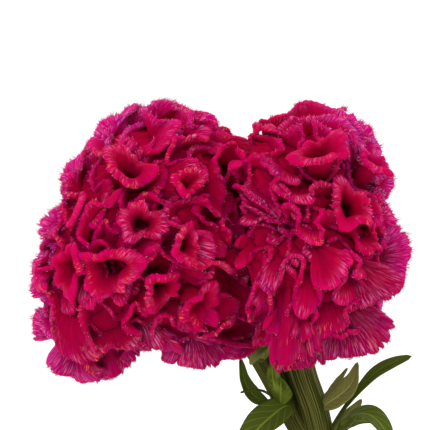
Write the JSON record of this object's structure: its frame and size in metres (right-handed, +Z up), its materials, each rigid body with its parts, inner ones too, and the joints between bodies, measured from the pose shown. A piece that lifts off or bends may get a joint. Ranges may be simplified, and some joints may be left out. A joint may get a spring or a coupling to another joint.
{
  "type": "potted cockscomb",
  "caption": "Cockscomb plant in a plain clay pot: ruffled crimson flower combs on a ribbed, leafy green stem.",
  "frame": {"origin": "centre of the pot's foot, on the surface it stands on", "axes": "+Z up, -Y towards the viewer of the flower's face, +X to the viewer's right"},
  "size_m": [0.2648, 0.172, 0.4112],
  "materials": {
    "clay": "matte fired clay",
    "potting_soil": "damp peat crumbs",
    "green_plant": "fresh stem and leaf",
    "crimson_comb": "velvety flower crest"
  },
  "bodies": {
    "root": {"pot": "clay", "soil": "potting_soil", "leafy_stem": "green_plant", "comb_left": "crimson_comb", "comb_right": "crimson_comb"}
  },
  "joints": []
}
